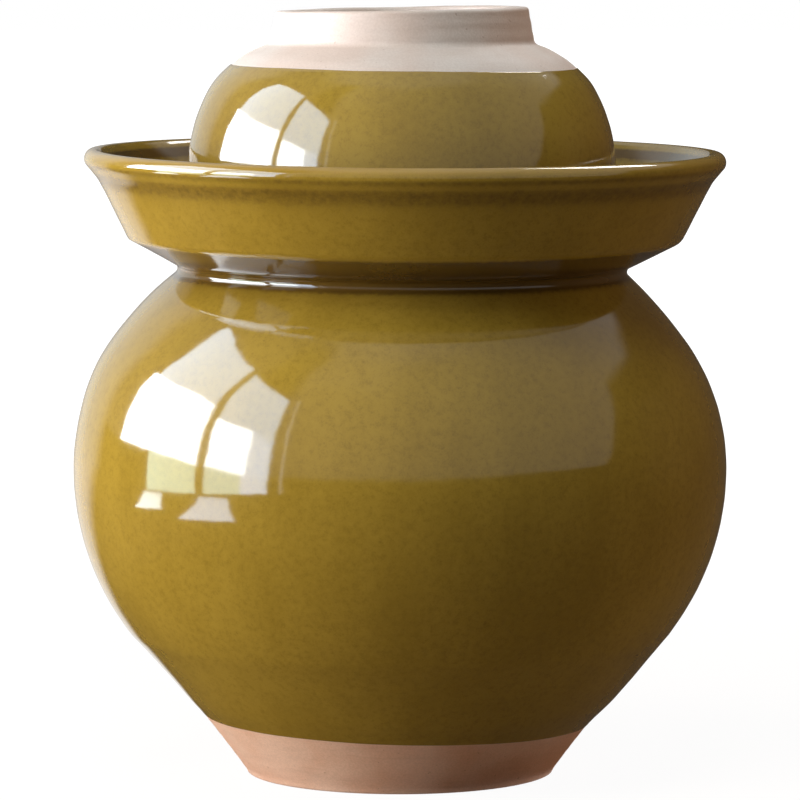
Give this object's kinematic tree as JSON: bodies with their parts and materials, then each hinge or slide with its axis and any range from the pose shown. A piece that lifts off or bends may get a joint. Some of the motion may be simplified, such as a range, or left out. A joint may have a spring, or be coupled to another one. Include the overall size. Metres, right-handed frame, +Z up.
{
  "type": "water seal pickle jar",
  "caption": "Round-bellied stoneware pickle jar with a flared water channel round its neck, an inner lid and an upturned bowl as its outer lid.",
  "frame": {"origin": "the middle of the jar's flat base, on the surface it stands on", "axes": "+Z up along the jar's axis of symmetry, from the base to the outer lid's foot ring; +Y away from the picture's camera, +X to its right"},
  "size_m": [0.2406, 0.2406, 0.2818],
  "materials": {
    "bare_clay": "matt bare stoneware",
    "olive_glaze": "glossy olive brown ash glaze"
  },
  "bodies": {
    "jar": {"jar_belly": "bare_clay", "channel_collar": "bare_clay", "jar_outer_glaze": "olive_glaze", "jar_inner_glaze": "olive_glaze"},
    "inner_lid": {"inner_lid": "bare_clay", "inner_lid_glaze": "olive_glaze"},
    "outer_lid": {"outer_lid": "bare_clay", "outer_lid_glaze": "olive_glaze"}
  },
  "joints": [
    {"name": "inner_lid_lift", "type": "slide", "parent": "jar", "child": "inner_lid", "axis": [0, 0, 1], "range_m": [0, 0.08]},
    {"name": "outer_lid_lift", "type": "slide", "parent": "inner_lid", "child": "outer_lid", "axis": [0, 0, 1], "range_m": [0, 0.12]}
  ]
}
